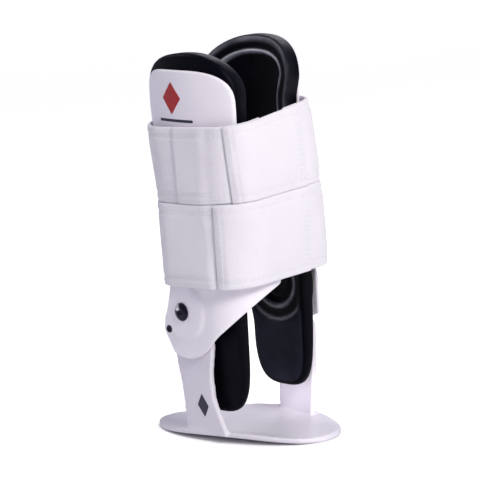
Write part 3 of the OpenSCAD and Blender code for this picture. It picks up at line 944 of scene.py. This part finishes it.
def make_hardware():
    for label, side in SIDES.items():
        y_in = -RIVET_HIGH[1] if side < 0 else box_mm("medial_hinge_rivet")[0][1]
        head = -RIVET_LOW[1] - HEAD_T
        # flanged inner end, shank, then a domed head with a dimple
        profile = [(0, y_in), (4.6, y_in), (5.1, y_in + 0.15), (5.15, y_in + 0.35),
                   (4.0, y_in + 0.45), (4.0, head), (5.6, head), (5.95, head + 0.15),
                   (6.0, head + 0.45), (5.6, head + 0.9), (4.8, head + 1.35), (3.7, head + 1.75),
                   (2.9, head + 1.9), (2.4, head + 1.8), (2.1, head + 1.4), (1.7, head + 1.05),
                   (1.0, head + 0.9), (0, head + 0.88)]
        verts, faces = lathe(profile, HINGE, side)
        rivet = new_object(f"{label}_rivet_turned", verts, faces, RIVET_MAT,
                           f"{label}_upright")
        # the mask for a painted highlight on the head's upper back
        set_attribute(rivet, "painted_highlight", highlight_spot)
        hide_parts(f"{label}_hinge_rivet")
        low, high = box_mm(f"{label}_stop_pin")
        a, b = sorted((side * low[1], side * high[1]))
        r = (high[0] - low[0]) / 2
        # rounded pin with a small dimple in its outer end
        profile = [(0, a), (r - 0.5, a), (r - 0.15, a + 0.15), (r, a + 0.5), (r, b - 0.5),
                   (r - 0.2, b - 0.12), (r - 0.6, b), (1.1, b), (0.9, b - 0.25), (0.6, b - 0.45),
                   (0, b - 0.5)]
        verts, faces = lathe(profile, PIN, side, 36)
        pin = new_object(f"{label}_pin_turned", verts, faces, RIVET_MAT,
                         f"{label}_upright")
        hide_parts(f"{label}_stop_pin")


make_hardware()

def dress(name, mat):
    """Gives a CAD piece its material."""
    node = frame["nodes"][name]
    node.data.materials.clear()
    node.data.materials.append(mat)
    return node


# CAD pieces that stay as they are: material and bevel
NODE_LOOKS = {"rivet_washer": (WASHER_MAT, 0.25), "hinge_bush": (BUSH_MAT, 0.2),
              "friction_disc": (BUSH_MAT, 0.12), "strap_anchor": (HOOK_MAT, 0.15),
              "pad_fasteners": (HOOK_MAT, 0.15)}
for label in SIDES:
    for part, (mat, edge) in NODE_LOOKS.items():
        node = dress(f"{label}_{part}", mat)
        bevel = node.modifiers.new("edge", "BEVEL")
        bevel.width = edge * MM
        bevel.segments = 2
for label in ("upper", "lower"):
    dress(f"{label}_hook_patch", HOOK_MAT)


# ---------------------------------------------------------------- stirrup
# The CAD solid with its edges softened
stirrup = dress("stirrup", STIRRUP_MAT)
remesh = stirrup.modifiers.new("skin", "REMESH")
remesh.mode = "VOXEL"
remesh.voxel_size = 0.85 * MM
remesh.use_smooth_shade = True
soften = stirrup.modifiers.new("soften", "SMOOTH")
soften.factor = 0.5
soften.iterations = 10


# ---------------------------------------------------------------- generic marks
INK_T = 0.14                 # the ink's height over the plastic
INK_EDGE = (0.2, 0.09)       # how far its edge is rounded, along and down


def decal(name, outline, place, mat, body):
    """A thin printed shape that lies on a face."""
    panel(name, outline, place, mat, body, pitch=0.9, blur=0.45, rings=(0.06, 0.2))


def on_shell(p, d):
    """The outer shell's outer face, above its hood."""
    out = edge_drop(d, *INK_EDGE)
    front = shell_place(p, out - INK_T)
    back = shell_place(p, 0.04 - out)
    for grid in (front, back):
        grid[:, 1] *= -1
    return front, back


def lozenge(cx, cz, half_w, half_h):
    return np.array([[cx + half_w, cz], [cx, cz + half_h], [cx - half_w, cz], [cx, cz - half_h]])


def on_arm(p, d):
    """The outer face of the stirrup's arm, which flares out upwards."""
    rise = np.clip((p[:, 1] - ARM_LOW_Z) / (ARM_FLARE_Z - ARM_LOW_Z), 0, 1)
    face = ARM_BASE_Y + ARM_T + (-BUSH_LOW - ARM_T - ARM_BASE_Y) * np.sin(rise * math.pi / 2)
    out = edge_drop(d, *INK_EDGE)
    front = np.stack([p[:, 0], -(face + INK_T - out), p[:, 1]], 1)
    back = np.stack([p[:, 0], -(face - 0.3 + out), p[:, 1]], 1)
    return front, back


decal("arm_mark_lozenge", lozenge(8, 25, 5, 8), on_arm, DARK_INK, "foot")
decal("shell_mark_lozenge", lozenge(-7, 223.5, 9, 10.5), on_shell, RED_INK,
      "lateral_upright")
decal("shell_mark_bar", [[-20, 208.4], [12, 208.4], [12, 210.2], [-20, 210.2]], on_shell,
      DARK_INK, "lateral_upright")


# ---------------------------------------------------------------- stage, light and camera
AZIMUTH, ELEVATION, ROLL = math.radians(45), math.radians(10), math.radians(3)
LOOK_AT, DISTANCE = Vector((0.022, 0, 0.13)), 1.5
LENS, SHIFT = 174.4, (-0.0304, -0.00625)
FLOOR_GLOW = 0.63            # brings the floor up to white in the camera's view only
NOOK_REACH, NOOK_POWER = 0.02, 1.6   # it fades this close to the object, as a contact shadow


def make_stage():
    """A floor that bends up into a wall behind the object, both out of sight against white."""
    s = Shader("studio_floor")
    s.link(s.ramp(s.noise(3, 2), (0.90, 0.90, 0.905), (0.93, 0.93, 0.935)),
           s.bsdf.inputs["Base Color"])
    s.rough(s.noise(20, 2), 0.85, 0.95)
    s.set(Specular_IOR_Level=0.1, Emission_Color=(1, 1, 1, 1))
    rays = s.node("ShaderNodeLightPath")
    nook = s.node("ShaderNodeAmbientOcclusion", Distance=NOOK_REACH)
    glow = s.math("MULTIPLY", s.math("POWER", nook.outputs["AO"], NOOK_POWER), FLOOR_GLOW)
    s.link(s.math("MULTIPLY", rays.outputs["Is Camera Ray"], glow),
           s.bsdf.inputs["Emission Strength"])
    size, rise, bend, reach, gap = 3000.0, 2500.0, 900.0, 9000.0, 0.05
    curve = arc(size - bend, bend, bend, -90, 0)
    profile = np.vstack([[(-reach, 0.0), (0.0, 0.0)], curve, [(size, rise)]])
    across = np.linspace(-reach, reach, 13)
    away = np.array([-math.sin(AZIMUTH), math.cos(AZIMUTH)])
    right = np.array([math.cos(AZIMUTH), math.sin(AZIMUTH)])
    verts = [[*(away * p[0] + right * w), p[1] - gap] for p in profile for w in across]
    faces = []
    for i in range(len(profile) - 1):
        for j in range(len(across) - 1):
            a = i * len(across) + j
            faces.append((a, a + 1, a + 1 + len(across), a + len(across)))
    floor = new_object("studio_floor", verts, faces, s.mat)


def area_light(name, place, target, size, power, colour, spread=180):
    """A round soft light at a place, in metres; spread is its beam's angle in degrees."""
    data = bpy.data.lights.new(name, "AREA")
    data.shape = "DISK"
    data.size = size
    data.energy = power
    data.color = colour
    data.spread = math.radians(spread)
    obj = bpy.data.objects.new(name, data)
    bpy.context.scene.collection.objects.link(obj)
    obj.location = place
    obj.rotation_euler = (Vector(target) - Vector(place)).to_track_quat("-Z", "Y").to_euler()


def make_camera():
    """A long lens in front of the outer side, a little above the brace and slightly rolled."""
    az, el = AZIMUTH, ELEVATION
    right = Vector((math.cos(az), math.sin(az), 0))
    back = Vector((math.sin(az) * math.cos(el), -math.cos(az) * math.cos(el), math.sin(el)))
    up = back.cross(right)
    x_axis = right * math.cos(ROLL) - up * math.sin(ROLL)
    y_axis = right * math.sin(ROLL) + up * math.cos(ROLL)
    data = bpy.data.cameras.new("camera")
    data.sensor_width = 36
    data.lens = LENS
    data.shift_x, data.shift_y = SHIFT
    data.clip_end = 20
    camera = bpy.data.objects.new("camera", data)
    bpy.context.scene.collection.objects.link(camera)
    place = LOOK_AT + back * DISTANCE
    camera.matrix_world = Matrix(((x_axis.x, y_axis.x, back.x, place.x),
                                  (x_axis.y, y_axis.y, back.y, place.y),
                                  (x_axis.z, y_axis.z, back.z, place.z), (0, 0, 0, 1)))
    bpy.context.scene.camera = camera


make_stage()
world = bpy.data.worlds.new("studio")
bpy.context.scene.world = world
world.use_nodes = True
sky = world.node_tree.nodes["Background"]
sky.inputs["Color"].default_value = (0.87, 0.85, 1.0, 1)
sky.inputs["Strength"].default_value = 0.41
# Warm main light from the front, cool one behind the inner side, a small one behind the outer
# side for the rims, and a narrow beam on the far arm's inner face
area_light("key", (1.1, -0.25, 0.9), (0, 0, 0.12), 0.45, 13.2, (1.0, 0.985, 0.90))
area_light("rim", (-0.5, 0.9, 0.8), (0, 0, 0.15), 0.6, 3, (0.95, 0.95, 1.0))
area_light("kick", (-0.75, -0.3, 0.75), (0, -0.04, 0.1), 0.12, 1.5, (1.0, 0.98, 0.96))
area_light("spot", (0.9, -0.55, 0.045), (0.02, 0.036, 0.019), 0.016, 0.0024, (1.0, 0.97, 1.0), 2.5)
make_camera()
bpy.context.scene.view_settings.view_transform = "Standard"
